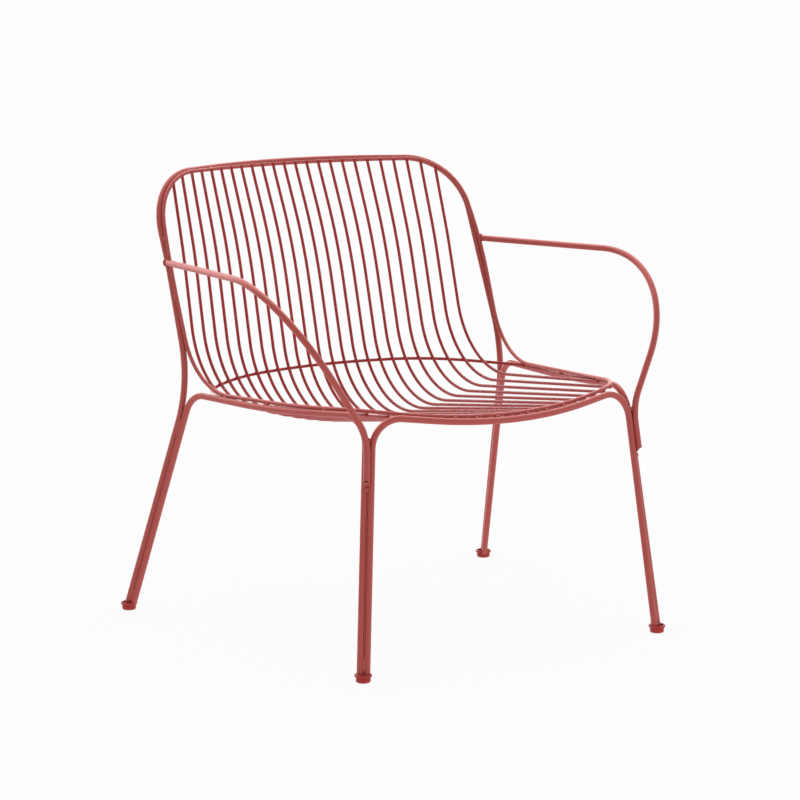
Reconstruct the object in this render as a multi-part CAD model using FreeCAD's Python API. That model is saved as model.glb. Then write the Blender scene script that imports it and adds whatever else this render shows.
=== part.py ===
import FreeCAD, Part
import math
import os

# Garden armchair welded from bent steel rod, standing on four cup-shaped feet.
# Millimetres, +Z up, the sitter looks towards -Y.
# Left and right are named as seen by someone standing in front: right is +X.
# The frame is symmetrical about the plane X = 0.

# Stock
frame_rod = 10.0
ring_rod = 6.0
wire_rod = 5.0

# Feet on the floor
rear_foot_x = 344.0
rear_foot_y = 254.5
front_foot_x = 270.0
front_foot_y = -319.7

# Legs: each is a pair of rods side by side, leaning by these amounts per millimetre of height
rear_lean_in = 0.128
rear_lean_forward = 0.327
front_lean_in = 0.097
front_lean_back = 0.107
# Direction across a pair, in degrees from +X, at the floor and at the height of the knees
rear_pair_low = 62.0
rear_pair_high = 73.0
front_pair_low = 27.0
front_pair_high = 50.0
pair_height = 350.0

# Back hoop: leg, knee, post, corner and bowed top rail
hoop_knee_z = 375.0
hoop_knee_radius = 180.0
post_x = 292.0
post_y = 204.9
post_z = 548.6
post_radius = 708.0
corner_x = 291.6
corner_y = 266.2
corner_z = 687.8
corner_radius = 104.6
top_y = 353.9
top_z = 693.2
top_radius = 580.0

# Side hoops: rear leg, side rail and front leg
side_rear_knee_z = 363.3
side_front_knee_z = 382.2
side_knee_radius = 45.0
side_mid_x = 276.0
side_mid_y = -70.6
side_mid_z = 363.9
side_mid_radius = 1300.0

# Front hoop: two front legs and the front rail, which bows forward and dips
front_knee_z = 381.4
front_knee_radius = 44.0
front_mid_y = -330.2
front_mid_z = 351.8
front_mid_radius = 592.0

# Arms: from the outer side of the post, flaring outward, down and into the groove of the front leg
arm_start_x = 296.2
arm_start_y = 207.6
arm_start_z = 558.1
arm_bend_x = 367.7
arm_bend_y = -246.0
arm_bend_z = 573.2
arm_bend_radius = 182.0
arm_foot_bend_z = 352.6
arm_foot_radius = 85.0
arm_end_z = 285.0

# Seat ring: one closed loop, in front of the hoop and over the rails
ring_top_y = 344.7
ring_top_z = 688.8
ring_top_radius = 560.0
ring_corner_x = 280.0
ring_corner_y = 261.7
ring_corner_z = 688.8
ring_corner_radius = 103.7
ring_post_x = 294.7
ring_post_y = 198.0
ring_post_z = 556.6
ring_post_radius = 839.0
ring_sweep_x = 291.2
ring_sweep_y = 125.2
ring_sweep_z = 365.6
ring_sweep_radius = 118.0
ring_side_x = 264.2
ring_side_y = -121.2
ring_side_z = 376.5
ring_side_radius = 878.0
ring_front_corner_x = 232.5
ring_front_corner_y = -262.5
ring_front_corner_z = 387.7
ring_front_corner_radius = 81.6
ring_front_y = -335.8
ring_front_z = 354.2
ring_front_radius = 565.0

# Slats
slat_count = 24
slat_back_radius = 675.0
slat_seat_radius = 134.6
slat_tip_over = 3.0
slat_end_over = 0.8

# Wire across the back of the slats at the bend of the seat
cross_end_x = 284.3
cross_end_y = 55.4
cross_end_z = 365.4
cross_turn_x = 257.9
cross_turn_y = 140.1
cross_turn_z = 362.4
cross_turn_radius = 47.8
cross_bow_x = 180.9
cross_bow_y = 190.8
cross_bow_z = 368.9
cross_bow_radius = 283.5
cross_mid_y = 223.0
cross_mid_z = 372.2
cross_mid_radius = 686.0

# Feet: a cup with a rolled rim
foot_floor_z = 8.0
foot_height = 12.5
foot_radius = 11.0
foot_rim_radius = 13.2
foot_hollow_radius = 10.3
foot_edge = 2.5

# Welds: runs in the grooves of the legs, beads at the arms and spots along the ring
run_radius = 2.2
run_distance = 5.8
arm_bead_radius = 4.0
arm_collar_radius = 1.8
spot_radius = 3.2


def at(x, y, z):
    return FreeCAD.Vector(x, y, z)


def unit(vector):
    return vector * (1.0 / vector.Length)


def mirrored(point):
    return at(-point.x, point.y, point.z)


def rod_path(points, radii, closed=False):
    """Wire of straight runs joined by circular bends, one radius for each corner."""
    count = len(points)
    corners = range(count) if closed else range(1, count - 1)
    bends = []
    for index, radius in zip(corners, radii):
        here = points[index]
        back = unit(points[index - 1] - here)
        ahead = unit(points[(index + 1) % count] - here)
        half = back.getAngle(ahead) / 2.0
        reach = radius / math.tan(half)
        depth = radius / math.sin(half) - radius
        bends.append((here + back * reach, here + unit(back + ahead) * depth, here + ahead * reach))
    edges = []
    pen = bends[-1][2] if closed else points[0]
    for first, middle, last in bends:
        if (first - pen).Length > 0.01:
            edges.append(Part.LineSegment(pen, first).toShape())
        edges.append(Part.Arc(first, middle, last).toShape())
        pen = last
    if not closed:
        edges.append(Part.LineSegment(pen, points[-1]).toShape())
    return Part.Wire(edges)


def rod(path, diameter):
    """Round rod along a wire."""
    edge = path.OrderedEdges[0]
    start = edge.valueAt(edge.FirstParameter)
    heading = edge.tangentAt(edge.FirstParameter)
    section = Part.Wire(Part.makeCircle(diameter / 2.0, start, heading))
    solid = path.makePipeShell([section], True, False)
    return Part.Solid(solid) if solid.ShapeType == "Shell" else solid


def mirror_shape(shape):
    return shape.mirror(at(0, 0, 0), at(1, 0, 0))


def across(lean, degrees, spacing):
    """Half the vector across a pair of rods that lean along a given direction."""
    flat = at(math.cos(math.radians(degrees)), math.sin(math.radians(degrees)), 0)
    return unit(flat - lean * flat.dot(lean)) * (spacing / 2.0)


def leg_point(foot, slope, low, high, z):
    """Point at height z on one rod of a leg; the rod shifts from one offset to the other."""
    share = z / pair_height
    return foot + slope * z + low * (1.0 - share) + high * share


def point_at_x(points, x):
    """Point of a finely divided curve where it passes the given X."""
    for first, last in zip(points[:-1], points[1:]):
        if (first.x - x) * (last.x - x) <= 0 and first.x != last.x:
            return first + (last - first) * ((x - first.x) / (last.x - first.x))
    raise ValueError("the curve does not reach X = %.1f" % x)


# The two rods of each leg, on the right-hand side.
# A pair that twists touches at half height, so it starts a little further apart.
rear_foot = at(rear_foot_x, rear_foot_y, 0)
rear_slope = at(-rear_lean_in, -rear_lean_forward, 1)
front_foot = at(front_foot_x, front_foot_y, 0)
front_slope = at(-front_lean_in, front_lean_back, 1)
rear_spacing = frame_rod / math.cos(math.radians(rear_pair_high - rear_pair_low) / 2.0)
front_spacing = frame_rod / math.cos(math.radians(front_pair_high - front_pair_low) / 2.0)
rear_low = across(unit(rear_slope), rear_pair_low, rear_spacing)
rear_high = across(unit(rear_slope), rear_pair_high, rear_spacing)
front_low = across(unit(front_slope), front_pair_low, front_spacing)
front_high = across(unit(front_slope), front_pair_high, front_spacing)


def hoop_leg(z):
    return leg_point(rear_foot, rear_slope, rear_low, rear_high, z)


def side_rear_leg(z):
    return leg_point(rear_foot, rear_slope, rear_low * -1, rear_high * -1, z)


def side_front_leg(z):
    return leg_point(front_foot, front_slope, front_low, front_high, z)


def front_leg(z):
    return leg_point(front_foot, front_slope, front_low * -1, front_high * -1, z)


def groove(first, second, slope, z, distance):
    """Point beside the groove between two rods of a leg, the same distance from both."""
    span = first(z) - second(z)
    outward = unit(unit(slope).cross(span))
    middle = (first(z) + second(z)) * 0.5
    return middle + outward * math.sqrt(distance * distance - span.Length * span.Length / 4.0)


def front_groove(z, distance):
    """Point in the groove on the outer side of the front leg."""
    return groove(front_leg, side_front_leg, front_slope, z, distance)


# Centre lines
hoop_half = [hoop_leg(0), hoop_leg(hoop_knee_z), at(post_x, post_y, post_z), at(corner_x, corner_y, corner_z)]
hoop_points = hoop_half + [at(0, top_y, top_z)] + [mirrored(p) for p in reversed(hoop_half)]
hoop_bends = [hoop_knee_radius, post_radius, corner_radius]
hoop_path = rod_path(hoop_points, hoop_bends + [top_radius] + hoop_bends[::-1])

side_points = [side_rear_leg(0), side_rear_leg(side_rear_knee_z), at(side_mid_x, side_mid_y, side_mid_z)]
side_points += [side_front_leg(side_front_knee_z), side_front_leg(0)]
side_path = rod_path(side_points, [side_knee_radius, side_mid_radius, side_knee_radius])

front_half = [front_leg(0), front_leg(front_knee_z)]
front_points = front_half + [at(0, front_mid_y, front_mid_z)] + [mirrored(p) for p in reversed(front_half)]
front_path = rod_path(front_points, [front_knee_radius, front_mid_radius, front_knee_radius])

arm_start = at(arm_start_x, arm_start_y, arm_start_z)
arm_points = [arm_start, at(arm_bend_x, arm_bend_y, arm_bend_z)]
arm_points += [front_groove(arm_foot_bend_z, frame_rod), front_groove(arm_end_z - 8.0, frame_rod)]
arm_path = rod_path(arm_points, [arm_bend_radius, arm_foot_radius])

ring_half = [at(ring_corner_x, ring_corner_y, ring_corner_z), at(ring_post_x, ring_post_y, ring_post_z)]
ring_half += [at(ring_sweep_x, ring_sweep_y, ring_sweep_z), at(ring_side_x, ring_side_y, ring_side_z)]
ring_half += [at(ring_front_corner_x, ring_front_corner_y, ring_front_corner_z)]
ring_points = [at(0, ring_top_y, ring_top_z)] + ring_half + [at(0, ring_front_y, ring_front_z)]
ring_points += [mirrored(p) for p in reversed(ring_half)]
ring_bends = [ring_corner_radius, ring_post_radius, ring_sweep_radius, ring_side_radius, ring_front_corner_radius]
ring_path = rod_path(ring_points, [ring_top_radius] + ring_bends + [ring_front_radius] + ring_bends[::-1], True)
ring_line = ring_path.discretize(Distance=0.5)
ring_back = [p for p in ring_line if p.z > 560.0]
ring_front = [p for p in ring_line if p.y < -150.0]

cross_half = [at(cross_end_x, cross_end_y, cross_end_z), at(cross_turn_x, cross_turn_y, cross_turn_z)]
cross_half += [at(cross_bow_x, cross_bow_y, cross_bow_z)]
cross_points = cross_half + [at(0, cross_mid_y, cross_mid_z)] + [mirrored(p) for p in reversed(cross_half)]
cross_bends = [cross_turn_radius, cross_bow_radius]
cross_path = rod_path(cross_points, cross_bends + [cross_mid_radius] + cross_bends[::-1])


def slat_path(t):
    """Centre line of a right-hand slat at t, which runs from 0 at the middle to 1 at the side.

    The slat butts against the ring's top from below, leans down the back with one gentle bend,
    turns into the seat and ends where it has passed below the ring's front or side.
    The outermost slat stops at the side rail.
    """
    t2 = t * t
    t3 = t2 * t
    t4 = t2 * t2
    lap = at(0, 0, -(ring_rod + wire_rod) / 2.0)
    tip = point_at_x(ring_back, 245.0 * t + 3.8 * t3) + lap
    back = at(244.3 * t + 6.7 * t3, 260.9 - 30.0 * t2, 562.3)
    seat = at(250.0 * t + 5.5 * t3, 187.0 - 2.9 * t2 - 9.4 * t4, 283.9 + 60.5 * t2 - 3.3 * t4)
    end = point_at_x(ring_front, 216.8 * t + 32.2 * t3) + lap
    tip = tip + unit(tip - back) * slat_tip_over
    end = end + unit(end - seat) * slat_end_over
    return rod_path([tip, back, seat, end], [slat_back_radius, slat_seat_radius])


def foot(x, y, held):
    """Cup with a rounded lower edge and a rolled rim, cleared for the rods that stand in it."""
    rim = (foot_height - foot_floor_z) / 2.0
    outline = [
        Part.LineSegment(at(0, 0, 0), at(foot_radius - foot_edge, 0, 0)),
        Part.Arc(
            at(foot_radius - foot_edge, 0, 0),
            at(foot_radius - foot_edge * (1 - math.sqrt(0.5)), 0, foot_edge * (1 - math.sqrt(0.5))),
            at(foot_radius, 0, foot_edge),
        ),
        Part.LineSegment(at(foot_radius, 0, foot_edge), at(foot_radius, 0, foot_floor_z)),
        Part.Arc(
            at(foot_radius, 0, foot_floor_z),
            at(foot_rim_radius, 0, foot_floor_z + rim),
            at(foot_radius, 0, foot_height),
        ),
        Part.LineSegment(at(foot_radius, 0, foot_height), at(foot_hollow_radius, 0, foot_height)),
        Part.LineSegment(at(foot_hollow_radius, 0, foot_height), at(foot_hollow_radius, 0, foot_floor_z)),
        Part.LineSegment(at(foot_hollow_radius, 0, foot_floor_z), at(0, 0, foot_floor_z)),
        Part.LineSegment(at(0, 0, foot_floor_z), at(0, 0, 0)),
    ]
    profile = Part.Face(Part.Wire([line.toShape() for line in outline]))
    cup = profile.revolve(at(0, 0, 0), at(0, 0, 1), 360)
    cup.translate(at(x, y, 0))
    for piece in held:
        cup = cup.cut(piece)
    return cup


def trimmed(shape, pieces):
    """What is left of a shape outside the given pieces."""
    for piece in pieces:
        shape = shape.cut(piece)
    return shape.Solids


def weld_run(first, second, slope, z_low, z_high, pieces):
    """Rounded run of weld in the groove between two rods of a leg."""
    low = groove(first, second, slope, z_low, run_distance)
    high = groove(first, second, slope, z_high, run_distance)
    run = Part.makeCylinder(run_radius, (high - low).Length, low, high - low)
    run = run.fuse([Part.makeSphere(run_radius, low), Part.makeSphere(run_radius, high)])
    return trimmed(run.removeSplitter(), pieces)


def weld_spot(point, path, reach, pieces):
    """Small round weld where the ring passes the given point, halfway between it and a frame rod."""
    ring_point = ring_path.distToShape(Part.Vertex(point))[1][0][0]
    span = path.distToShape(Part.Vertex(ring_point))[1][0][0] - ring_point
    centre = ring_point + unit(span) * ((span.Length + ring_rod / 2.0 - frame_rod / 2.0) / 2.0)
    return trimmed(Part.makeSphere(reach, centre), pieces)


# Pieces
below = Part.makeBox(1000, 1000, 100, at(-500, -500, foot_floor_z - 100))
back_hoop = rod(hoop_path, frame_rod).cut(below)
side_hoop = rod(side_path, frame_rod).cut(below)
front_hoop = rod(front_path, frame_rod).cut(below)
seat_ring = rod(ring_path, ring_rod)

arm_tip = front_groove(arm_end_z, frame_rod)
arm_axis = unit(front_slope) * -1
arm_away = unit(arm_tip - (side_front_leg(arm_end_z) + front_leg(arm_end_z)) * 0.5)
arm_cut = Part.makeCylinder(30.0, 60.0, arm_tip, unit(arm_axis + arm_away))
arm = rod(arm_path, frame_rod).cut(back_hoop).cut(seat_ring).cut(arm_cut)
arm = max(arm.Solids, key=lambda solid: solid.Volume)

cross_wire = rod(cross_path, wire_rod).cut(seat_ring).cut(side_hoop).cut(mirror_shape(side_hoop))
cross_wire = max(cross_wire.Solids, key=lambda solid: solid.Volume)

slats = []
for index in range(slat_count // 2):
    t = (2.0 * index + 1.0) / (slat_count - 1)
    slat = rod(slat_path(t), wire_rod).cut(seat_ring).cut(side_hoop)
    slat = max(slat.Solids, key=lambda solid: solid.Volume)
    slats.append(slat)
    slats.insert(0, mirror_shape(slat))

leg_welds = []
for z_low, z_high in ((18.0, 34.0), (296.0, 318.0)):
    leg_welds += weld_run(hoop_leg, side_rear_leg, rear_slope, z_low, z_high, [back_hoop, side_hoop])
    leg_welds += weld_run(side_rear_leg, hoop_leg, rear_slope, z_low, z_high, [back_hoop, side_hoop])
leg_welds += weld_run(front_leg, side_front_leg, front_slope, 18.0, 34.0, [side_hoop, front_hoop])
leg_welds += weld_run(side_front_leg, front_leg, front_slope, 18.0, 34.0, [side_hoop, front_hoop])
leg_welds += weld_run(side_front_leg, front_leg, front_slope, 318.0, 342.0, [side_hoop, front_hoop])

arm_heading = unit(arm_points[1] - arm_start)
arm_collar = Part.makeTorus(frame_rod / 2.0 + 0.4, arm_collar_radius, arm_start + arm_heading * 5.6, arm_heading)
arm_welds = trimmed(arm_collar, [arm, back_hoop, seat_ring])
crotch = front_groove(arm_foot_bend_z - 5.0, 6.4)
arm_welds += trimmed(Part.makeSphere(arm_bead_radius, crotch), [arm, side_hoop, front_hoop])
heel = front_groove(arm_end_z - 8.0, 6.2)
arm_welds += trimmed(Part.makeSphere(arm_bead_radius - 0.5, heel), [arm, side_hoop, front_hoop])

ring_spots = []
for x, z in ((150.0, 689.0), (290.0, 600.0), (293.0, 500.0)):
    spot = at(x, ring_corner_y if x < 200.0 else post_y, z)
    ring_spots += weld_spot(spot, hoop_path, spot_radius, [seat_ring, back_hoop])
for y in (48.0, -59.0, -193.0):
    ring_spots += weld_spot(at(280.0, y, 370.0), side_path, spot_radius, [seat_ring, side_hoop, cross_wire])
for x in (28.1, 65.4, 102.5):
    ring_spots += weld_spot(at(x, front_mid_y, 370.0), front_path, spot_radius, [seat_ring, front_hoop])


def both_sides(solids):
    return Part.Compound(solids + [mirror_shape(solid) for solid in solids])


pieces = {
    "leg_welds": both_sides(leg_welds),
    "arm_welds": both_sides(arm_welds),
    "ring_welds": both_sides(ring_spots),
    "back_hoop": back_hoop,
    "side_hoop_right": side_hoop,
    "side_hoop_left": mirror_shape(side_hoop),
    "front_hoop": front_hoop,
    "seat_ring": seat_ring,
    "arm_right": arm,
    "arm_left": mirror_shape(arm),
    "rear_cross_wire": cross_wire,
}
for index, slat in enumerate(slats):
    pieces["slat_%02d" % (index + 1)] = slat
rear_cup = foot(rear_foot_x, rear_foot_y, [back_hoop, side_hoop])
front_cup = foot(front_foot_x, front_foot_y, [side_hoop, front_hoop])
pieces["foot_rear_right"] = rear_cup
pieces["foot_rear_left"] = mirror_shape(rear_cup)
pieces["foot_front_right"] = front_cup
pieces["foot_front_left"] = mirror_shape(front_cup)

os.makedirs("parts", exist_ok=True)
for name, shape in pieces.items():
    shape.exportStep("parts/%s.step" % name)
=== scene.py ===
import math

import bpy
import numpy as np
from bpy.props import FloatProperty, FloatVectorProperty, IntProperty, PointerProperty
from mathutils import Matrix, Vector


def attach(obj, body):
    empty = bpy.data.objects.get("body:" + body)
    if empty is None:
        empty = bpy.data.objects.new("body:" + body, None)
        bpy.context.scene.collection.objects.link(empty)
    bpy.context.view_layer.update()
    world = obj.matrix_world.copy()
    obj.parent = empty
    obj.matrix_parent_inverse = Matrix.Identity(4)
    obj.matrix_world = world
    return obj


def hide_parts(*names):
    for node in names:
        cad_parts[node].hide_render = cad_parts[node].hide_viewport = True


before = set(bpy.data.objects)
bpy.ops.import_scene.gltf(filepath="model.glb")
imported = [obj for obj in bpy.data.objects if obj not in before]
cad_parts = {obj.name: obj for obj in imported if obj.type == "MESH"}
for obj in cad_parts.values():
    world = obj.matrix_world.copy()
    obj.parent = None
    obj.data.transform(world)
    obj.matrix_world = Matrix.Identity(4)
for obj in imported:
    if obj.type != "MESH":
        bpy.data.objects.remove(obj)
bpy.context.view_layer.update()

bl_info = {
    "name": "Garden Armchair",
    "version": (1, 0, 0),
    "blender": (4, 5, 0),
    "location": "View3D > Sidebar > Armchair",
    "description": "Bent rods, wire slats, welds and cups of a painted garden armchair",
    "category": "Object",
}

MIRROR = np.array([-1.0, 1.0, 1.0])
SHARP_EDGE = math.radians(50.0)
# Normal of a level cut.
LEVEL = (0.0, 0.0, 1.0)

# Above this height the ring and the hoop form the top of the back.
BACK_TOP_Z = 0.56
# In front of this the ring forms the front of the seat.
SEAT_FRONT_Y = -0.15

# Upper end of a slat's tip from the middle of the ring's top, in ring diameters.
TIP_END = np.array([-0.50, -0.60, 0.52])
# How far a tip's upper end may lie above the middle of the top rail.
TIP_LIMIT = 0.0008

# Points near the ring where it is welded to the hoop, the side rail and the front rail, on the right.
HOOP_SPOTS = ((0.150, 0.2617, 0.689), (0.290, 0.2049, 0.600), (0.293, 0.2049, 0.500))
SIDE_SPOTS = ((0.280, 0.048, 0.370), (0.280, -0.059, 0.370), (0.280, -0.193, 0.370))
FRONT_SPOTS = ((0.0281, -0.3302, 0.370), (0.0654, -0.3302, 0.370), (0.1025, -0.3302, 0.370))


# Settings

def length(name, description, default):
    return FloatProperty(name=name, description=description, default=default, unit="LENGTH", precision=4)


def lengths(name, description, *default):
    return FloatVectorProperty(
        name=name, description=description, default=default, size=len(default), unit="LENGTH", precision=4
    )


def place(name, description, x, y, z):
    return FloatVectorProperty(
        name=name, description=description, default=(x, y, z),
        subtype="TRANSLATION", unit="LENGTH", precision=4,
    )


def angle(name, description, degrees):
    return FloatProperty(
        name=name, description=description, default=math.radians(degrees), subtype="ANGLE", unit="ROTATION"
    )


def plain(name, description, default):
    return FloatProperty(name=name, description=description, default=default, precision=4)


def factors(name, description, *default):
    return FloatVectorProperty(
        name=name, description=description, default=default, size=len(default), precision=4
    )


def colour(name, description, red, green, blue):
    return FloatVectorProperty(
        name=name, description=description, default=(red, green, blue), subtype="COLOR", min=0.0, max=1.0
    )


class StockSettings(bpy.types.PropertyGroup):
    frame_rod: length("Frame rod", "Diameter of the legs, rails and arms", 0.010)
    ring_rod: length("Ring rod", "Diameter of the closed seat ring", 0.006)
    wire: length("Wire", "Diameter of the slats and of the cross wire", 0.005)
    edge: length("Cut edge", "Rounding of a sawn rod end", 0.0006)
    frame_sides: IntProperty(name="Frame sides", description="Facets round a frame rod", default=28, min=8)
    ring_sides: IntProperty(name="Ring sides", description="Facets round the ring", default=22, min=8)
    wire_sides: IntProperty(name="Wire sides", description="Facets round a wire", default=18, min=8)


class LegSettings(bpy.types.PropertyGroup):
    rear_foot: place("Rear foot", "Right rear leg on the floor", 0.344, 0.2545, 0.0)
    front_foot: place("Front foot", "Right front leg on the floor", 0.270, -0.3197, 0.0)
    rear_slope: factors("Rear slope", "Shift of the rear leg per unit of height", -0.128, -0.327, 1.0)
    front_slope: factors("Front slope", "Shift of the front leg per unit of height", -0.097, 0.107, 1.0)
    rear_low: angle("Rear pair, low", "Direction across the rear pair at the floor", 62.0)
    rear_high: angle("Rear pair, high", "Direction across the rear pair below the knee", 73.0)
    front_low: angle("Front pair, low", "Direction across the front pair at the floor", 27.0)
    front_high: angle("Front pair, high", "Direction across the front pair below the knee", 50.0)
    pair_height: length("Pair height", "Height over which a pair twists", 0.350)
    stand: length("Stand", "Height of the cup's floor, where the rods are cut", 0.008)


class HoopSettings(bpy.types.PropertyGroup):
    knee_z: length("Knee", "Height of the back hoop's knee", 0.375)
    post: place("Post", "Bend in the middle of the post", 0.2920, 0.2049, 0.5486)
    corner: place("Corner", "Upper corner", 0.2916, 0.2662, 0.6878)
    top: place("Top", "Middle of the bowed top rail", 0.0, 0.3539, 0.6932)
    bends: lengths("Bends", "Bend radii at knee, post, corner and top", 0.180, 0.708, 0.1046, 0.580)
    side_knees: lengths("Side knees", "Heights of the side hoop's rear and front knees", 0.3633, 0.3822)
    side_middle: place("Side rail", "Bend in the middle of the side rail", 0.276, -0.0706, 0.3639)
    side_bends: lengths("Side bends", "Bend radii at the side hoop's knees and middle", 0.045, 1.300)
    front_knee: length("Front knee", "Height of the front hoop's knees", 0.3814)
    front_middle: place("Front rail", "Middle of the front rail", 0.0, -0.3302, 0.3518)
    front_bends: lengths("Front bends", "Bend radii at the front hoop's knees and middle", 0.044, 0.592)


class ArmSettings(bpy.types.PropertyGroup):
    start: place("Start", "Rear end, on the outer side of the post", 0.2962, 0.2076, 0.5581)
    bend: place("Bend", "Bend at the front of the arm", 0.3677, -0.2460, 0.5732)
    groove_z: length("Groove", "Height where the arm enters the groove of the front leg", 0.3526)
    end_z: length("End", "Height of the arm's slanted lower end", 0.285)
    bends: lengths("Bends", "Bend radii at the front and at the groove", 0.182, 0.085)


class RingSettings(bpy.types.PropertyGroup):
    top: place("Top", "Middle of the ring's top", 0.0, 0.3447, 0.6888)
    corner: place("Corner", "Upper corner", 0.2800, 0.2617, 0.6888)
    post: place("Post", "Bend beside the post", 0.2947, 0.1980, 0.5566)
    sweep: place("Sweep", "Bend from the back into the seat", 0.2912, 0.1252, 0.3656)
    side: place("Side", "Bend along the side of the seat", 0.2642, -0.1212, 0.3765)
    front_corner: place("Front corner", "Corner at the front of the seat", 0.2325, -0.2625, 0.3877)
    front: place("Front", "Middle of the ring's front", 0.0, -0.3358, 0.3542)
    bends: lengths(
        "Bends", "Bend radii from the top to the front", 0.560, 0.1037, 0.839, 0.118, 0.878, 0.0816, 0.565
    )


class SlatSettings(bpy.types.PropertyGroup):
    count: IntProperty(name="Slats", description="Number of wire slats", default=24, min=2)
    tip_x: lengths("Tip spread", "Factors of t and t cubed for a slat's tip", 0.2450, 0.0038)
    tip_over: length("Tip overrun", "How far a tip runs up into the ring", 0.003)
    tip_size: plain("Tip size", "Diameter of the tip ends as a share of the wire's", 0.85)
    end_over: length("End overrun", "How far a front end runs on below the ring", 0.0008)
    back_x: lengths("Back spread", "Factors of t and t cubed for the bend of the back", 0.2443, 0.0067)
    back_y: lengths("Back dish", "Constant and factor of t squared for the bend of the back", 0.2609, -0.0300)
    back_z: length("Back height", "Height of the bend of the back", 0.5623)
    seat_x: lengths("Seat spread", "Factors of t and t cubed for the bend of the seat", 0.2500, 0.0055)
    seat_y: lengths("Seat depth", "Constant and factors of t^2 and t^4", 0.1870, -0.0029, -0.0094)
    seat_z: lengths("Seat dish", "Constant and factors of t^2 and t^4", 0.2839, 0.0605, -0.0033)
    end_x: lengths("Front spread", "Factors of t and t cubed for a slat's front end", 0.2168, 0.0322)
    bends: lengths("Bends", "Bend radii of the back and of the seat", 0.675, 0.1346)
    cross_end: place("Cross wire end", "Right end of the cross wire", 0.2843, 0.0554, 0.3654)
    cross_turn: place("Cross wire turn", "Bend near the end", 0.2579, 0.1401, 0.3624)
    cross_bow: place("Cross wire bow", "Bend on the way to the middle", 0.1809, 0.1908, 0.3689)
    cross_middle: place("Cross wire middle", "Middle of the cross wire", 0.0, 0.2230, 0.3722)
    cross_bends: lengths("Cross wire bends", "Bend radii from the end to the middle", 0.0478, 0.2835, 0.686)


class WeldSettings(bpy.types.PropertyGroup):
    run_width: length("Run width", "Half width of the weld runs in the grooves of the legs", 0.0027)
    run_distance: length("Run place", "Distance of a run's middle from both rods", 0.0058)
    flat: plain("Flatness", "Height of a run or a bead as a share of its width", 0.85)
    low_run: lengths("Low runs", "Heights of the ends of the runs above the cups", 0.018, 0.034)
    rear_run: lengths("Rear runs", "Heights of the ends of the runs below the rear knees", 0.296, 0.318)
    front_run: lengths("Front runs", "Heights of the ends of the runs below the front knees", 0.318, 0.342)
    seam: length("Seam", "Diameter of the paint seam in the groove of a leg pair", 0.0018)
    sides: IntProperty(name="Sides", description="Facets round a seam or a collar", default=12, min=8)
    ripple: length("Ripple", "Spacing of the ripples along a weld run", 0.0026)
    ripple_depth: plain("Ripple depth", "Height of the ripples as a share of the run's width", 0.05)
    collar: length("Collar", "Thickness of the weld collar where an arm meets its post", 0.0018)
    collar_place: lengths("Collar place", "Distance from the arm's end, and play round it", 0.0056, 0.0003)
    collar_waves: IntProperty(name="Collar waves", description="Waves round the collar", default=14, min=0)
    collar_swell: plain("Collar swell", "Height of the waves as a share of the radius", 0.025)
    bead: length("Bead", "Radius of the beads at the arm's lower end", 0.0040)
    crotch: lengths("Crotch bead", "Drop below the groove's start, and distance from the rods", 0.005, 0.0064)
    heel: lengths("Heel bead", "Drop below the arm's end, and distance from the rods", 0.008, 0.0062)
    spot: length("Spot", "Radius of the weld spots between ring and frame", 0.0032)
    spot_length: plain("Spot length", "Length of a weld spot as a share of its width", 1.25)
    crossing: lengths("Crossing weld", "Half sizes of a weld on the cross wire", 0.0034, 0.00272, 0.00136)
    front: lengths("Front weld", "Half sizes of a weld on the ring's front", 0.00238, 0.0017, 0.00136)


class CupSettings(bpy.types.PropertyGroup):
    height: length("Height", "Height of a cup", 0.0125)
    radius: length("Radius", "Radius of the foot under the rim", 0.0110)
    rim: length("Rim", "Radius over the rolled rim", 0.0132)
    hollow: length("Hollow", "Radius of the hollow", 0.0103)
    edge: length("Edge", "Rounding of the lower edge", 0.0025)
    neck: lengths("Neck", "Depth and height of the groove under the rim", 0.0005, 0.0012)
    lip: length("Lip", "Height of the small steps at the rim", 0.0004)
    axis: length("Axis", "Radius of the smallest ring of points at the axis", 0.001)
    sides: IntProperty(name="Sides", description="Facets round a cup", default=40, min=8)


class PaintSettings(bpy.types.PropertyGroup):
    deep: colour("Deep red", "Paint where the coat is thick", 0.380, 0.023, 0.020)
    light: colour("Light red", "Paint where the coat is thin", 0.430, 0.034, 0.030)
    # Painted shade: the wire reds are a darker copy of the frame's reds, so the slats, the cross wire and the
    # slat welds look shaded. Within them the tone still drifts at random.
    wire_shade_deep: colour("Wire deep red", "Paint on the wires where the coat is thick", 0.325, 0.013, 0.010)
    wire_shade_pale: colour("Wire light red", "Paint on the wires where the coat is thin", 0.370, 0.020, 0.016)
    cup_deep: colour("Cup deep red", "Moulded cup, darker patches", 0.355, 0.023, 0.020)
    cup_light: colour("Cup light red", "Moulded cup, lighter patches", 0.400, 0.031, 0.027)
    gloss: factors("Gloss", "Lowest and highest roughness of the satin coat", 0.34, 0.46)
    cup_gloss: factors("Cup gloss", "Lowest and highest roughness of the cups", 0.45, 0.60)
    shine: plain("Shine", "Specular level of the frame's coat", 0.37)
    wire_shine: plain("Wire shine", "Specular level of the coat on the wires", 0.42)
    peel: length("Orange peel", "Depth of the fine texture of the coat", 0.00012)
    drift: plain("Drift", "Scale of the broad drifts of tone", 16.0)
    cloud: plain("Cloud", "Scale of the cloudiness in the gloss", 90.0)
    grain: plain("Grain", "Scale of the orange peel", 650.0)


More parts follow.
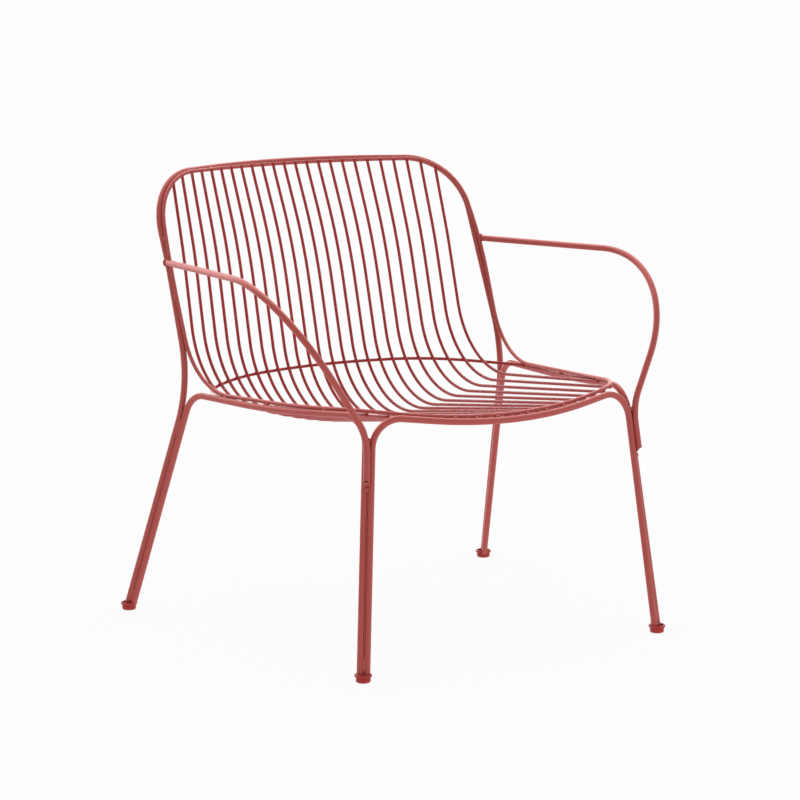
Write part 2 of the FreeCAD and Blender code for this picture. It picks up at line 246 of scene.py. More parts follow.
class StageSettings(bpy.types.PropertyGroup):
    eye: place("Eye", "Place of the camera", -2.5873, -3.9231, 1.1675)
    aim: place("Aim", "Point that the camera looks at", -0.0158, -0.0301, 0.3488)
    roll: angle("Roll", "Turn of the camera about its line of sight", 0.12)
    lens: plain("Lens", "Focal length in millimetres on a 36 mm frame", 137.12)
    floor_size: length("Floor", "Side of the floor", 90.0)
    floor_tone: plain("Floor tone", "Share of the light that the floor throws back", 0.08)
    floor_glow: plain("Floor glow", "Light that comes through the pale floor", 0.912)
    sky: plain("Sky", "Strength of the light from the other sides", 1.02)
    dusk: plain("Dusk", "Strength of the light from the dim side", 0.62)
    dusk_from: place("Dusk from", "Direction of the dim side", -0.72, -0.25, 0.65)
    dusk_edge: factors("Dusk edge", "Cosines between which the light fades to the dim side", -0.2, 0.9)
    key: plain("Key", "Strength of the broad light from above", 0.32)
    key_spread: angle("Key spread", "Angle that the broad light fills", 32.0)
    key_from: place("Key from", "Direction that the broad light comes from", -0.20, 0.20, 1.0)
    glint: plain("Glint", "Strength of the sheet of light that is only seen in reflections", 3.7)
    glint_spread: angle("Glint spread", "Angle that the sheet fills", 96.0)
    glint_from: place("Glint from", "Direction of the sheet's middle", 0.30, 0.80, 0.50)


class ArmchairSettings(bpy.types.PropertyGroup):
    stock: PointerProperty(type=StockSettings)
    legs: PointerProperty(type=LegSettings)
    hoops: PointerProperty(type=HoopSettings)
    arms: PointerProperty(type=ArmSettings)
    ring: PointerProperty(type=RingSettings)
    slats: PointerProperty(type=SlatSettings)
    welds: PointerProperty(type=WeldSettings)
    cups: PointerProperty(type=CupSettings)
    paint: PointerProperty(type=PaintSettings)
    stage: PointerProperty(type=StageSettings)


def settings():
    return bpy.context.scene.armchair


# Lines and surfaces

def unit(vectors):
    return vectors / np.linalg.norm(vectors, axis=-1, keepdims=True)


def array(prop):
    return np.array(prop[:], float)


def there_and_back(half, middle):
    """Corners of a symmetrical rod: the right half, the middle, and the mirrored half in reverse."""
    half = np.array(half)
    return np.concatenate([half, [middle], half[::-1] * MIRROR])


def bent_line(corners, radii, closed=False, flatness=1.5e-5, closest=1e-5):
    """Centre line of a bent rod.

    Straight runs between the corners. At a corner with turn angle w the arc is
    centre + R (cos a u + sin a v), a from 0 to w, where u points from the centre to the start of the
    arc, v is the heading there, and the centre lies R / cos(w / 2) from the corner on its bisector.
    """
    corners = np.asarray(corners, float)
    count = len(corners)
    parts = [] if closed else [corners[:1]]
    for index, radius in zip(range(count) if closed else range(1, count - 1), radii):
        here = corners[index]
        back = unit(corners[index - 1] - here)
        ahead = unit(corners[(index + 1) % count] - here)
        turn = np.pi - np.arccos(np.clip(back @ ahead, -1.0, 1.0))
        centre = here + unit(back + ahead) * radius / np.cos(turn / 2.0)
        start = unit(here + back * radius * np.tan(turn / 2.0) - centre)
        steps = max(4, math.ceil(turn / (2.0 * math.sqrt(2.0 * flatness / radius))) + 1)
        sweep = np.linspace(0.0, turn, steps)[:, None]
        parts.append(centre + radius * (np.cos(sweep) * start - np.sin(sweep) * back))
    if not closed:
        parts.append(corners[-1:])
    line = np.concatenate(parts)
    apart = np.linalg.norm(np.diff(line, axis=0), axis=1) > closest
    return line[np.concatenate([[True], apart])]


def grid_faces(rows, sides, closed=False):
    """Quads of a grid, closed round its sides and, if asked, from its last row to its first."""
    row = np.arange(rows if closed else rows - 1)[:, None]
    side = np.arange(sides)[None, :]
    beyond = (row + 1) % rows
    onward = (side + 1) % sides
    corners = [row * sides + side, row * sides + onward, beyond * sides + onward, beyond * sides + side]
    return np.stack(corners, -1).reshape(-1, 4).tolist()


def shell(rows):
    """Closed shell: rings of points, with a pole at the middle of the first ring and of the last."""
    count, sides = rows.shape[:2]
    points = np.concatenate([rows.reshape(-1, 3), rows[:1].mean(1), rows[-1:].mean(1)])
    side = np.arange(sides)
    onward = (side + 1) % sides
    first = np.stack([np.full(sides, count * sides), onward, side], -1)
    last = np.stack([np.full(sides, count * sides + 1), side, onward], -1)
    last[:, 1:] += (count - 1) * sides
    return points, grid_faces(count, sides) + first.tolist() + last.tolist()


def tangents(line, closed=False):
    """Unit heading at each point of a line, halfway between the headings of the runs that meet there."""
    if closed:
        run = unit(np.roll(line, -1, 0) - line)
        return unit(run + np.roll(run, 1, 0))
    run = unit(np.diff(line, axis=0))
    return unit(np.concatenate([run[:1], run[:-1] + run[1:], run[-1:]]))


def rod(line, diameter, sides, edge=0.0, closed=False, cut_start=None, cut_end=None):
    """Round rod along a line: C(s) + r (cos a N + sin a B).

    N is the heading crossed with the normal of the plane that fits the line best, and B the heading
    crossed with N. An end is cut square, or by a plane with the given normal: its points slide along
    the heading onto that plane. A sawn edge is broken by a small round, and one more ring of points beside
    it keeps the rest of the run evenly shaded.
    """
    if not closed:
        guard = 4.0 * edge
        first, last = unit(line[1] - line[0]), unit(line[-2] - line[-1])
        first, last = line[0] + first * guard, line[-1] + last * guard
        line = np.concatenate([line[:1], [first], line[1:-1], [last], line[-1:]])
    heading = tangents(line, closed)
    flat = np.linalg.svd(line - line.mean(0))[2][2]
    sideways = unit(np.cross(heading, flat))
    upward = np.cross(heading, sideways)
    turn = np.arange(sides) * 2.0 * np.pi / sides
    spoke = np.cos(turn)[None, :, None] * sideways[:, None] + np.sin(turn)[None, :, None] * upward[:, None]
    rows = line[:, None] + spoke * diameter / 2.0
    if closed:
        return rows.reshape(-1, 3), grid_faces(len(line), sides, True)
    ends = []
    for index, cut, inward in ((0, cut_start, 1.0), (-1, cut_end, -1.0)):
        normal = heading[index] if cut is None else unit(np.asarray(cut, float))
        slide = (line[index] - rows[index]) @ normal / (heading[index] @ normal)
        rim = rows[index] + slide[:, None] * heading[index]
        bow = np.linspace(0.0, np.pi / 2.0, 4)[:, None, None]
        shrink = 1.0 - 2.0 * edge / diameter * (1.0 - np.sin(bow))
        depth = inward * edge * (1.0 - np.cos(bow))
        ends.append(line[index] + (rim - line[index]) * shrink + heading[index] * depth)
    return shell(np.concatenate([ends[0], rows[1:-1], ends[1][::-1]]))


def frame_rod(line, cut_start=None, cut_end=None):
    """Rod of the frame's stock along a line."""
    stock = settings().stock
    return rod(line, stock.frame_rod, stock.frame_sides, stock.edge, False, cut_start, cut_end)


def bead(centre, along, outward, half_sizes, ripples=0, depth=0.0, grid=(13, 14)):
    """Rounded weld bead about a centre.

    With v from 0 to pi along the bead and a round it, the point is
    c - L cos v A + sin v (1 + d cos(2 n v)) (W cos a S + H sin a O): an ellipsoid with n ripples of depth d,
    where A runs along, O outward, and S is their cross product. A rippled bead has blunter ends: there
    sin v is raised to the power 0.45. v stops a little short of the poles.
    """
    short, blunt = 0.04, 0.45
    along = unit(np.asarray(along, float))
    outward = np.asarray(outward, float)
    outward = unit(outward - along * (outward @ along))
    sideways = np.cross(outward, along)
    span = np.linspace(short, np.pi - short, grid[0] + 2 * ripples)[:, None, None]
    turn = (np.arange(grid[1]) * 2.0 * np.pi / grid[1])[None, :, None]
    swell = np.sin(span) ** (blunt if ripples else 1.0) * (1.0 + depth * np.cos(2.0 * ripples * span))
    ring = half_sizes[1] * np.cos(turn) * sideways + half_sizes[2] * np.sin(turn) * outward
    return shell(centre - half_sizes[0] * np.cos(span) * along + swell * ring)


def lathe(profile, centre, sides):
    """Turned shape: (r cos a, r sin a, z) for each (r, z) of a profile from the lower pole to the upper."""
    profile = np.asarray(profile, float)
    turn = np.arange(sides) * 2.0 * np.pi / sides
    round_about = np.stack([np.cos(turn), np.sin(turn), np.zeros(sides)], -1)
    rows = profile[:, None, :1] * round_about[None] + profile[:, None, 1:] * np.array(LEVEL)
    return shell(rows + np.asarray(centre, float))


def mirrored(surface):
    """Mirror image in the plane X = 0, with its faces turned to point outward again."""
    points, faces = surface
    return points * MIRROR, [face[::-1] for face in faces]


def both_sides(surfaces):
    """Surfaces of the right-hand side and their mirror images."""
    return surfaces + [mirrored(surface) for surface in surfaces]


def joined(surfaces):
    """One mesh of several separate shells."""
    points = np.concatenate([surface[0] for surface in surfaces])
    starts = np.cumsum([0] + [len(surface[0]) for surface in surfaces[:-1]])
    faces = [[int(i) + int(s) for i in face] for surface, s in zip(surfaces, starts) for face in surface[1]]
    return points, faces


def add_piece(name, surface, material, slot, *nodes):
    """Makes a surface a piece of the chair that stands for the named solids."""
    mesh = bpy.data.meshes.new(name)
    mesh.from_pydata(surface[0].tolist(), [], surface[1])
    mesh.validate()
    mesh.shade_smooth()
    mesh.set_sharp_from_angle(angle=SHARP_EDGE)
    mesh.materials.append(material)
    piece = bpy.data.objects.new(name, mesh)
    bpy.context.scene.collection.objects.link(piece)
    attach(piece, "root")
    if nodes:
        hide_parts(*nodes)


def add_both(name, node, right, material, slot):
    """Makes a surface and its mirror image the right and the left piece of a pair."""
    add_piece(name + "_right", right, material, slot, node + "_right")
    add_piece(name + "_left", mirrored(right), material, slot, node + "_left")


# Centre lines

def pair_line(foot, slope, low, high, sign, height):
    """Straight rod of a leg pair as a function of height.

    At height z it lies at foot + slope z + offset, where the offset runs from half the pair's spacing in
    direction low, at the floor, to the same in direction high, at the given height. The spacing is the rod's
    diameter divided by cos((high - low) / 2), so that the two rods touch halfway.
    """
    lean = unit(array(slope))
    spacing = settings().stock.frame_rod / math.cos((high - low) / 2.0)

    def across(turn):
        flat = np.array([math.cos(turn), math.sin(turn), 0.0])
        return unit(flat - lean * (flat @ lean)) * spacing / 2.0 * sign

    start, finish = across(low), across(high)

    def point(z):
        share = z / height
        return array(foot) + array(slope) * z + start * (1.0 - share) + finish * share

    return point


def leg_rods():
    """Rods of the right-hand legs: back hoop, side hoop at the rear, side hoop at the front, front hoop."""
    legs = settings().legs
    rear = (legs.rear_foot, legs.rear_slope, legs.rear_low, legs.rear_high)
    front = (legs.front_foot, legs.front_slope, legs.front_low, legs.front_high)
    ways = ((rear, 1.0), (rear, -1.0), (front, 1.0), (front, -1.0))
    return [pair_line(*leg, sign, legs.pair_height) for leg, sign in ways]


def groove(first, second, slope, z, distance):
    """Point in the groove of a pair, the given distance from both rods, and the direction out of the groove.

    Of the two grooves it is the one on the side of slope x (first - second).
    """
    span = first(z) - second(z)
    outward = unit(np.cross(unit(array(slope)), span))
    point = (first(z) + second(z)) / 2.0 + outward * math.sqrt(distance ** 2 - span @ span / 4.0)
    return point, outward


def hoop_line():
    """From the right rear foot over the top rail to the left rear foot."""
    hoops = settings().hoops
    leg = leg_rods()[0]
    half = [leg(settings().legs.stand), leg(hoops.knee_z), array(hoops.post), array(hoops.corner)]
    bends = list(hoops.bends)
    return bent_line(there_and_back(half, array(hoops.top)), bends + bends[2::-1])


def side_line():
    """From the right rear foot along the side rail to the right front foot."""
    hoops = settings().hoops
    rear, front = leg_rods()[1:3]
    stand = settings().legs.stand
    corners = [rear(stand), rear(hoops.side_knees[0]), array(hoops.side_middle)]
    corners += [front(hoops.side_knees[1]), front(stand)]
    return bent_line(corners, [hoops.side_bends[0], hoops.side_bends[1], hoops.side_bends[0]])


def front_line():
    """From the right front foot along the front rail to the left front foot."""
    hoops = settings().hoops
    leg = leg_rods()[3]
    half = [leg(settings().legs.stand), leg(hoops.front_knee)]
    knee, middle = hoops.front_bends
    return bent_line(there_and_back(half, array(hoops.front_middle)), [knee, middle, knee])


def arm_corners():
    """Corners of the right arm, from the outer side of the post to the groove of the front leg."""
    arms, legs = settings().arms, settings().legs
    rod_size = settings().stock.frame_rod
    side, front = leg_rods()[2:]
    bend = groove(front, side, legs.front_slope, arms.groove_z, rod_size)[0]
    end = groove(front, side, legs.front_slope, arms.end_z, rod_size)[0]
    return np.array([array(arms.start), array(arms.bend), bend, end])


def ring_line():
    """From the middle of the top down the right side, across the front and up the left side."""
    ring = settings().ring
    half = [ring.corner, ring.post, ring.sweep, ring.side, ring.front_corner]
    half = np.array([array(corner) for corner in half])
    corners = np.concatenate([[array(ring.top)], half, [array(ring.front)], half[::-1] * MIRROR])
    bends = list(ring.bends)
    return bent_line(corners, bends + bends[5:0:-1], True)


def upper(line):
    """The part of the ring or the hoop at the top of the back, ordered by X."""
    line = line[line[:, 2] > BACK_TOP_Z]
    return line[np.argsort(line[:, 0])]


def ring_top():
    return upper(ring_line())


def ring_front():
    """The ring's front and the front half of its sides, ordered by X."""
    line = ring_line()
    line = line[line[:, 1] < SEAT_FRONT_Y]
    return line[np.argsort(line[:, 0])]


def crossing(line, x):
    """Point of a line, ordered by X, where it passes x."""
    return np.array([x, np.interp(x, line[:, 0], line[:, 1]), np.interp(x, line[:, 0], line[:, 2])])


def slat_lines():
    """Centre lines of the right-hand slats, from the middle outward.

    t runs from 0 at the middle to 1 at the side. Tip, bend of the back, bend of the seat and front end
    lie on polynomials of t. The tip butts against the ring's top from below and the end passes below
    the ring's front or side; each runs on a little in its own direction. The short tip ends that lie
    over the ring's front are made with the welds.
    """
    slats, stock = settings().slats, settings().stock
    top, front = ring_top(), ring_front()
    lap = np.array([0.0, 0.0, -0.5]) * (stock.ring_rod + stock.wire)
    lines = []
    for index in range(slats.count // 2):
        t = (2.0 * index + 1.0) / (slats.count - 1.0)
        odd, even = np.array([t, t ** 3]), np.array([1.0, t ** 2, t ** 4])
        tip = crossing(top, array(slats.tip_x) @ odd) + lap
        back = np.array([array(slats.back_x) @ odd, array(slats.back_y) @ even[:2], slats.back_z])
        seat = np.array([array(slats.seat_x) @ odd, array(slats.seat_y) @ even, array(slats.seat_z) @ even])
        end = crossing(front, array(slats.end_x) @ odd) + lap
        tip = tip + unit(tip - back) * slats.tip_over
        end = end + unit(end - seat) * slats.end_over
        lines.append(bent_line([tip, back, seat, end], slats.bends))
    return lines


def cross_wire_line():
    """From the right end behind the slats to the left end."""
    slats = settings().slats
    half = [array(slats.cross_end), array(slats.cross_turn), array(slats.cross_bow)]
    bends = list(slats.cross_bends)
    return bent_line(there_and_back(half, array(slats.cross_middle)), bends + bends[1::-1])


def finely(line, step=0.0005):
    """The same line with points at even steps."""
    run = np.concatenate([[0.0], np.cumsum(np.linalg.norm(np.diff(line, axis=0), axis=1))])
    even = np.linspace(0.0, run[-1], int(run[-1] / step) + 2)
    return np.stack([np.interp(even, run, line[:, axis]) for axis in range(3)], -1)


def nearest(first, second, skip=8, reach=20):
    """Where two lines pass closest: the point of each, and the heading of the second.

    One point in every few is compared first, and then all points within reach of the best pair.
    """
    first, second = finely(first), finely(second)
    coarse = np.linalg.norm(first[::skip, None] - second[None, ::skip], axis=-1)
    i, j = np.unravel_index(coarse.argmin(), coarse.shape)
    first = first[max(0, skip * i - reach):skip * i + reach]
    second = second[max(0, skip * j - reach):skip * j + reach]
    apart = np.linalg.norm(first[:, None] - second[None], axis=-1)
    i, j = np.unravel_index(apart.argmin(), apart.shape)
    return first[i], second[j], tangents(second)[j]


# Finishes

def satin_coat(name, deep, light, gloss, shine):
    """Satin coat on Object coordinates: broad drifts of tone, cloudiness in the gloss, and orange peel."""
    paint = settings().paint
    material = bpy.data.materials.get(name)
    if material:
        return material
    material = bpy.data.materials.new(name)
    material.use_nodes = True
    nodes, links = material.node_tree.nodes, material.node_tree.links
    shader = nodes["Principled BSDF"]
    place_node = nodes.new("ShaderNodeTexCoord")

    def noise(scale, detail):
        node = nodes.new("ShaderNodeTexNoise")
        node.inputs["Scale"].default_value = scale
        node.inputs["Detail"].default_value = detail
        links.new(place_node.outputs["Object"], node.inputs["Vector"])
        return node.outputs["Fac"]

    tone = nodes.new("ShaderNodeValToRGB")
    tone.color_ramp.elements[0].position = 0.32
    tone.color_ramp.elements[0].color = (*deep, 1.0)
    tone.color_ramp.elements[1].position = 0.68
    tone.color_ramp.elements[1].color = (*light, 1.0)
    links.new(noise(paint.drift, 4.0), tone.inputs["Fac"])
    links.new(tone.outputs["Color"], shader.inputs["Base Color"])

    satin = nodes.new("ShaderNodeMapRange")
    satin.inputs["From Min"].default_value = 0.3
    satin.inputs["From Max"].default_value = 0.7
    satin.inputs["To Min"].default_value = gloss[0]
    satin.inputs["To Max"].default_value = gloss[1]
    links.new(noise(paint.cloud, 3.0), satin.inputs["Value"])
    links.new(satin.outputs["Result"], shader.inputs["Roughness"])

    bump = nodes.new("ShaderNodeBump")
    bump.inputs["Strength"].default_value = 0.6
    bump.inputs["Distance"].default_value = paint.peel
    links.new(noise(paint.grain, 2.0), bump.inputs["Height"])
    links.new(bump.outputs["Normal"], shader.inputs["Normal"])
    shader.inputs["Specular IOR Level"].default_value = shine
    return material


def frame_paint():
    paint = settings().paint
    return satin_coat("frame_paint", paint.deep, paint.light, paint.gloss, paint.shine)


# Painted shade: the coat for the wires is the frame's satin coat in darker reds.
def shaded_wire_paint():
    paint = settings().paint
    return satin_coat("shaded_wire_paint", paint.wire_shade_deep, paint.wire_shade_pale, paint.gloss, paint.wire_shine)


def cup_finish():
    paint = settings().paint
    return satin_coat("cup_plastic", paint.cup_deep, paint.cup_light, paint.cup_gloss, paint.shine)


# Pieces

class ARMCHAIR_OT_back_hoop(bpy.types.Operator):
    """Bend the rear legs, posts and top rail from one rod"""
    bl_idname = "armchair.back_hoop"
    bl_label = "Back Hoop"

    def execute(self, context):
        surface = frame_rod(hoop_line(), LEVEL, LEVEL)
        add_piece("back_hoop_rod", surface, frame_paint(), "frame_paint", "back_hoop")
        return {"FINISHED"}


class ARMCHAIR_OT_side_hoops(bpy.types.Operator):
    """Bend the two side hoops: rear leg, side rail and front leg"""
    bl_idname = "armchair.side_hoops"
    bl_label = "Side Hoops"

    def execute(self, context):
        right = frame_rod(side_line(), LEVEL, LEVEL)
        add_both("side_hoop_rod", "side_hoop", right, frame_paint(), "frame_paint")
        return {"FINISHED"}


class ARMCHAIR_OT_front_hoop(bpy.types.Operator):
    """Bend the front legs and the bowed front rail from one rod"""
    bl_idname = "armchair.front_hoop"
    bl_label = "Front Hoop"

    def execute(self, context):
        surface = frame_rod(front_line(), LEVEL, LEVEL)
        add_piece("front_hoop_rod", surface, frame_paint(), "frame_paint", "front_hoop")
        return {"FINISHED"}


class ARMCHAIR_OT_arms(bpy.types.Operator):
    """Bend the flared arms, with a slanted lower end in the groove of the front leg"""
    bl_idname = "armchair.arms"
    bl_label = "Arms"

    def execute(self, context):
        arms, legs = settings().arms, settings().legs
        corners = arm_corners()
        side, front = leg_rods()[2:]
        away = unit(corners[3] - (side(arms.end_z) + front(arms.end_z)) / 2.0)
        slant = away - unit(array(legs.front_slope))
        right = frame_rod(bent_line(corners, arms.bends), cut_end=slant)
        add_both("arm_rod", "arm", right, frame_paint(), "frame_paint")
        return {"FINISHED"}


class ARMCHAIR_OT_seat_ring(bpy.types.Operator):
    """Close the ring that runs round the back and the seat"""
    bl_idname = "armchair.seat_ring"
    bl_label = "Seat Ring"

    def execute(self, context):
        stock = settings().stock
        surface = rod(ring_line(), stock.ring_rod, stock.ring_sides, closed=True)
        add_piece("seat_ring_rod", surface, frame_paint(), "frame_paint", "seat_ring")
        return {"FINISHED"}


class ARMCHAIR_OT_slats(bpy.types.Operator):
    """Lay the wire slats from the top of the back to the front of the seat"""
    bl_idname = "armchair.slats"
    bl_label = "Slats"

    def execute(self, context):
        stock, count = settings().stock, settings().slats.count
        for index, line in enumerate(slat_lines()):
            right = rod(line, stock.wire, stock.wire_sides, stock.edge)
            for number, surface in ((count // 2 + 1 + index, right), (count // 2 - index, mirrored(right))):
                name = "slat_%02d" % number
                # Each slat takes the darker wire coat: painted shade.
                add_piece(name + "_wire", surface, shaded_wire_paint(), "frame_paint", name)
        return {"FINISHED"}


class ARMCHAIR_OT_cross_wire(bpy.types.Operator):
    """Run the bowed wire across the back of the slats"""
    bl_idname = "armchair.cross_wire"
    bl_label = "Cross Wire"

    def execute(self, context):
        stock = settings().stock
        surface = rod(cross_wire_line(), stock.wire, stock.wire_sides, stock.edge)
        # The cross wire takes the darker wire coat: painted shade.
        add_piece("cross_wire", surface, shaded_wire_paint(), "frame_paint", "rear_cross_wire")
        return {"FINISHED"}


class ARMCHAIR_OT_cups(bpy.types.Operator):
    """Turn the four cups with their rolled rims"""
    bl_idname = "armchair.cups"
    bl_label = "Cups"

    def profile(self):
        """Radius and height from the lower pole to the upper one.

        A quarter circle for the lower edge, a neck, half an ellipse for the rolled rim, and the hollow.
        """
        cups, stand = settings().cups, settings().legs.stand
        low = np.linspace(-np.pi / 2.0, 0.0, 7)
        roll = np.linspace(-np.pi / 2.0, np.pi / 2.0, 13)
        middle = (stand + cups.height) / 2.0
        lower = cups.radius - cups.edge + cups.edge * np.cos(low), cups.edge + cups.edge * np.sin(low)
        neck = [cups.radius, stand - cups.neck[1]], [cups.radius - cups.neck[0], stand - cups.lip]
        wide, high = cups.rim - cups.radius, cups.height - middle
        rolled = cups.radius + wide * np.cos(roll), middle + high * np.sin(roll)
        inner = [cups.hollow, cups.height - cups.lip], [cups.hollow, stand], [cups.axis, stand]
        return np.concatenate([[[cups.axis, 0.0]], np.stack(lower, -1), neck, np.stack(rolled, -1), inner])

    def execute(self, context):
        legs, sides = settings().legs, settings().cups.sides
        for end, foot in (("rear", legs.rear_foot), ("front", legs.front_foot)):
            right = lathe(self.profile(), array(foot), sides)
            add_both("cup_" + end, "foot_" + end, right, cup_finish(), "foot_cup")
        return {"FINISHED"}


class ARMCHAIR_OT_frame_welds(bpy.types.Operator):
    """Weld the leg pairs, the arms and the ring to the frame"""
    bl_idname = "armchair.frame_welds"
    bl_label = "Frame Welds"

    def run(self, first, second, slope, heights):
        """Rippled bead in a groove between two heights."""
        welds = settings().welds
        low, outward = groove(first, second, slope, heights[0], welds.run_distance)
        high = groove(first, second, slope, heights[1], welds.run_distance)[0]
        half = np.linalg.norm(high - low) / 2.0 + welds.run_width
        ripples = int(2.0 * half / welds.ripple)
        sizes = (half, welds.run_width, welds.run_width * welds.flat)
        return bead((low + high) / 2.0, high - low, outward, sizes, ripples, welds.ripple_depth, (9, 14))

    def seam(self, first, second, slope, z_high):
        """Paint that has run into the groove of a pair: a thin rod that touches both."""
        welds, thick = settings().welds, settings().stock.frame_rod
        thin = welds.seam
        heights = np.linspace(settings().legs.stand + thin, z_high, 14)
        line = np.array([groove(first, second, slope, z, (thick + thin) / 2.0)[0] for z in heights])
        return rod(line, thin, welds.sides, thin / 8.0)

    def arm_collar(self, corners):
        """Weld round the rear end of an arm: a thin rod bent to a circle of radius r (1 + w cos(n a))."""
        welds = settings().welds
        heading = unit(corners[1] - corners[0])
        sideways = unit(np.cross(heading, LEVEL))
        upward = np.cross(sideways, heading)
        turn = np.linspace(0.0, 2.0 * np.pi, 49)[:-1, None]
        radius = settings().stock.frame_rod / 2.0 + welds.collar_place[1]
        swell = 1.0 + welds.collar_swell * np.cos(welds.collar_waves * turn)
        spoke = np.cos(turn) * sideways + np.sin(turn) * upward
        line = corners[0] + heading * welds.collar_place[0] + radius * swell * spoke
        return rod(line, 2.0 * welds.collar, welds.sides, closed=True)

    def spot(self, line, target, other):
        """Bead halfway between the ring and a frame rod, at the place of the ring nearest to the target."""
        welds, stock = settings().welds, settings().stock
        ring = finely(line)
        here = np.linalg.norm(ring - np.array(target), axis=1).argmin()
        point, heading = ring[here], tangents(ring)[here]
        across = finely(other)
        span = across[np.linalg.norm(across - point, axis=1).argmin()] - point
        share = (1.0 + (stock.ring_rod - stock.frame_rod) / 2.0 / np.linalg.norm(span)) / 2.0
        sizes = (welds.spot * welds.spot_length, welds.spot, welds.spot)
        return bead(point + span * share, heading, span, sizes)

    def execute(self, context):
        welds, legs, arms = settings().welds, settings().legs, settings().arms
        hoop, side_rear, side_front, front = leg_rods()
        rear = (hoop, side_rear, legs.rear_slope), (side_rear, hoop, legs.rear_slope)
        arm_groove, far_groove = (front, side_front, legs.front_slope), (side_front, front, legs.front_slope)
        runs = [self.run(*pair, heights) for heights in (welds.low_run, welds.rear_run) for pair in rear]
        runs.append(self.run(*arm_groove, welds.low_run))
        runs.append(self.run(*far_groove, welds.low_run))
        runs.append(self.run(*far_groove, welds.front_run))
        runs += [self.seam(*pair, welds.rear_run[1]) for pair in rear]
        runs.append(self.seam(*far_groove, welds.front_run[0]))
        runs.append(self.seam(*arm_groove, arms.end_z - welds.bead))
        add_piece("leg_weld_runs", joined(both_sides(runs)), frame_paint(), "frame_paint", "leg_welds")

        crotch, outward = groove(*arm_groove, arms.groove_z - welds.crotch[0], welds.crotch[1])
        heel = groove(*arm_groove, arms.end_z - welds.heel[0], welds.heel[1])[0]
        lean, size = array(legs.front_slope), welds.bead
        beads = [
            self.arm_collar(arm_corners()),
            bead(crotch, lean, outward, (size, size, size)),
            bead(heel, lean, outward, (size, size * welds.flat, size * welds.flat)),
        ]
        add_piece("arm_weld_beads", joined(both_sides(beads)), frame_paint(), "frame_paint", "arm_welds")

        ring = ring_line()
        rods = (HOOP_SPOTS, hoop_line()), (SIDE_SPOTS, side_line()), (FRONT_SPOTS, front_line())
        spots = [self.spot(ring, target, line) for targets, line in rods for target in targets]
        add_piece("ring_weld_spots", joined(both_sides(spots)), frame_paint(), "frame_paint", "ring_welds")
        return {"FINISHED"}


class ARMCHAIR_OT_slat_welds(bpy.types.Operator):
    """Lay the slats' tip ends over the ring and weld the slats to the ring and to the cross wire"""
    bl_idname = "armchair.slat_welds"
    bl_label = "Slat Welds"

    def execute(self, context):
        slats, stock, welds = settings().slats, settings().stock, settings().welds
        thick, wire = stock.ring_rod, stock.wire * slats.tip_size
        cross, top, front, rail = cross_wire_line(), ring_top(), ring_front(), upper(hoop_line())
        tips, crossings, fronts = [], [], []
        for right in slat_lines():
            for line in (right, right * MIRROR):
                up = unit(line[0] - line[1])
                high = crossing(top, line[0, 0]) + thick * TIP_END
                high[2] = min(high[2], crossing(rail, high[0])[2] + TIP_LIMIT)
                tip = np.array([line[0] - up * thick, high])
                tips.append(rod(tip, wire, stock.wire_sides, stock.edge))
                on_slat, on_wire, heading = nearest(line, cross)
                middle = (on_slat + on_wire) / 2.0
                crossings.append(bead(middle, heading, on_slat - on_wire, welds.crossing))
                on_slat, on_ring, heading = nearest(line[-2:], front)
                middle = (on_slat + on_ring) / 2.0
                fronts.append(bead(middle, heading, on_ring - on_slat, welds.front))
        # The tip ends over the ring and the welds take the darker wire coat: painted shade, so the tips read
        # as dark strokes across the ring and the front welds as dark dots.
        add_piece("slat_tip_welds", joined(tips), shaded_wire_paint(), "frame_paint")
        add_piece("slat_cross_welds", joined(crossings), shaded_wire_paint(), "frame_paint")
        add_piece("slat_front_welds", joined(fronts), shaded_wire_paint(), "frame_paint")
        return {"FINISHED"}


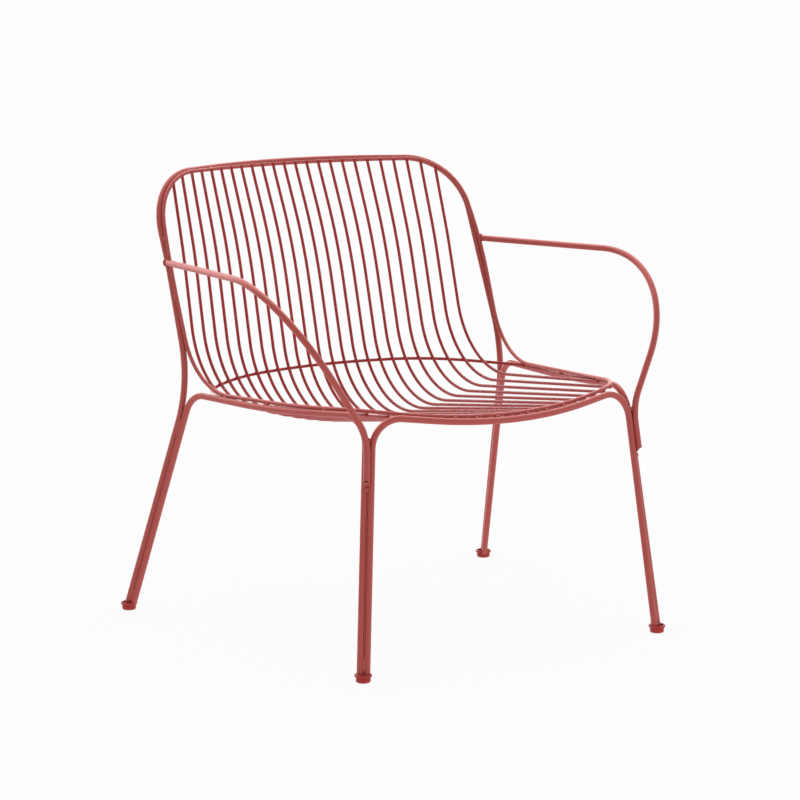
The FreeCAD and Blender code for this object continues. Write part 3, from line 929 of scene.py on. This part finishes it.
class ARMCHAIR_OT_stage(bpy.types.Operator):
    """Set the pale floor, the soft light and the camera"""
    bl_idname = "armchair.stage"
    bl_label = "Stage"

    def far_light(self, scene, name, strength, spread, source):
        """Light from one side of the sky, which fills the given angle."""
        light = bpy.data.lights.new(name, "SUN")
        light.energy = strength
        light.angle = spread
        lamp = bpy.data.objects.new(name, light)
        lamp.rotation_euler = (-Vector(source)).to_track_quat("-Z", "Y").to_euler()
        scene.collection.objects.link(lamp)
        return lamp

    def lay_floor(self, stage, scene):
        """Pale floor that glows. The paint doesn't reflect it."""
        half = stage.floor_size / 2.0
        corners = [(-half, -half, 0.0), (half, -half, 0.0), (half, half, 0.0), (-half, half, 0.0)]
        mesh = bpy.data.meshes.new("floor")
        mesh.from_pydata(corners, [], [(0, 1, 2, 3)])
        floor = bpy.data.objects.new("floor", mesh)
        scene.collection.objects.link(floor)
        floor.visible_glossy = False
        pale = bpy.data.materials.new("floor_pale")
        pale.use_nodes = True
        tone = stage.floor_tone
        shader = pale.node_tree.nodes["Principled BSDF"]
        shader.inputs["Base Color"].default_value = (tone, tone, tone, 1.0)
        shader.inputs["Roughness"].default_value = 0.9
        shader.inputs["Specular IOR Level"].default_value = 0.0
        shader.inputs["Emission Color"].default_value = (1.0, 1.0, 1.0, 1.0)
        shader.inputs["Emission Strength"].default_value = stage.floor_glow
        mesh.materials.append(pale)

    def light_studio(self, stage, scene):
        """Even light that fades to a dim side, a broad light from above and a sheet for the highlights."""
        world = bpy.data.worlds.new("studio")
        world.use_nodes = True
        nodes, links = world.node_tree.nodes, world.node_tree.links
        nodes["Background"].inputs["Color"].default_value = (1.0, 1.0, 1.0, 1.0)
        direction = nodes.new("ShaderNodeTexCoord")
        toward = nodes.new("ShaderNodeVectorMath")
        toward.operation = "DOT_PRODUCT"
        toward.inputs[1].default_value = Vector(stage.dusk_from).normalized()
        links.new(direction.outputs["Generated"], toward.inputs[0])
        fade = nodes.new("ShaderNodeMapRange")
        fade.interpolation_type = "SMOOTHSTEP"
        fade.inputs["From Min"].default_value = stage.dusk_edge[0]
        fade.inputs["From Max"].default_value = stage.dusk_edge[1]
        fade.inputs["To Min"].default_value = stage.sky
        fade.inputs["To Max"].default_value = stage.dusk
        links.new(toward.outputs["Value"], fade.inputs["Value"])
        links.new(fade.outputs["Result"], nodes["Background"].inputs["Strength"])
        scene.world = world
        self.far_light(scene, "key", stage.key, stage.key_spread, stage.key_from)
        sheet = self.far_light(scene, "glint", stage.glint, stage.glint_spread, stage.glint_from)
        sheet.visible_diffuse = False

    def aim_camera(self, stage, scene):
        """Camera at the eye, turned to the aim and rolled a little."""
        camera = bpy.data.cameras.new("camera")
        camera.lens = stage.lens
        camera.sensor_width = 36.0
        camera.clip_end = 200.0
        view = bpy.data.objects.new("camera", camera)
        scene.collection.objects.link(view)
        eye, aim = Vector(stage.eye), Vector(stage.aim)
        facing = (aim - eye).to_track_quat("-Z", "Y").to_matrix().to_4x4()
        view.matrix_world = Matrix.Translation(eye) @ facing @ Matrix.Rotation(stage.roll, 4, "Z")
        scene.camera = view

    def execute(self, context):
        stage, scene = settings().stage, context.scene
        self.lay_floor(stage, scene)
        self.light_studio(stage, scene)
        self.aim_camera(stage, scene)
        scene.view_settings.view_transform = "Standard"
        return {"FINISHED"}


PIECES = (
    ARMCHAIR_OT_back_hoop,
    ARMCHAIR_OT_side_hoops,
    ARMCHAIR_OT_front_hoop,
    ARMCHAIR_OT_arms,
    ARMCHAIR_OT_seat_ring,
    ARMCHAIR_OT_slats,
    ARMCHAIR_OT_cross_wire,
    ARMCHAIR_OT_cups,
    ARMCHAIR_OT_frame_welds,
    ARMCHAIR_OT_slat_welds,
    ARMCHAIR_OT_stage,
)


class ARMCHAIR_PT_panel(bpy.types.Panel):
    """Sizes, finishes and pieces of the armchair"""
    bl_idname = "ARMCHAIR_PT_panel"
    bl_label = "Garden Armchair"
    bl_space_type = "VIEW_3D"
    bl_region_type = "UI"
    bl_category = "Armchair"

    def draw(self, context):
        for piece in PIECES:
            self.layout.operator(piece.bl_idname)
        for group in ArmchairSettings.__annotations__:
            box = self.layout.box()
            box.label(text=group.capitalize())
            values = getattr(context.scene.armchair, group)
            for name in type(values).__annotations__:
                box.prop(values, name)


CLASSES = (
    StockSettings,
    LegSettings,
    HoopSettings,
    ArmSettings,
    RingSettings,
    SlatSettings,
    WeldSettings,
    CupSettings,
    PaintSettings,
    StageSettings,
    ArmchairSettings,
    *PIECES,
    ARMCHAIR_PT_panel,
)


def register():
    for cls in CLASSES:
        bpy.utils.register_class(cls)
    bpy.types.Scene.armchair = PointerProperty(type=ArmchairSettings)


def unregister():
    del bpy.types.Scene.armchair
    for cls in reversed(CLASSES):
        bpy.utils.unregister_class(cls)


def main():
    register()
    for piece in PIECES:
        getattr(bpy.ops.armchair, piece.bl_idname.split(".")[1])()


if __name__ == "__main__":
    main()
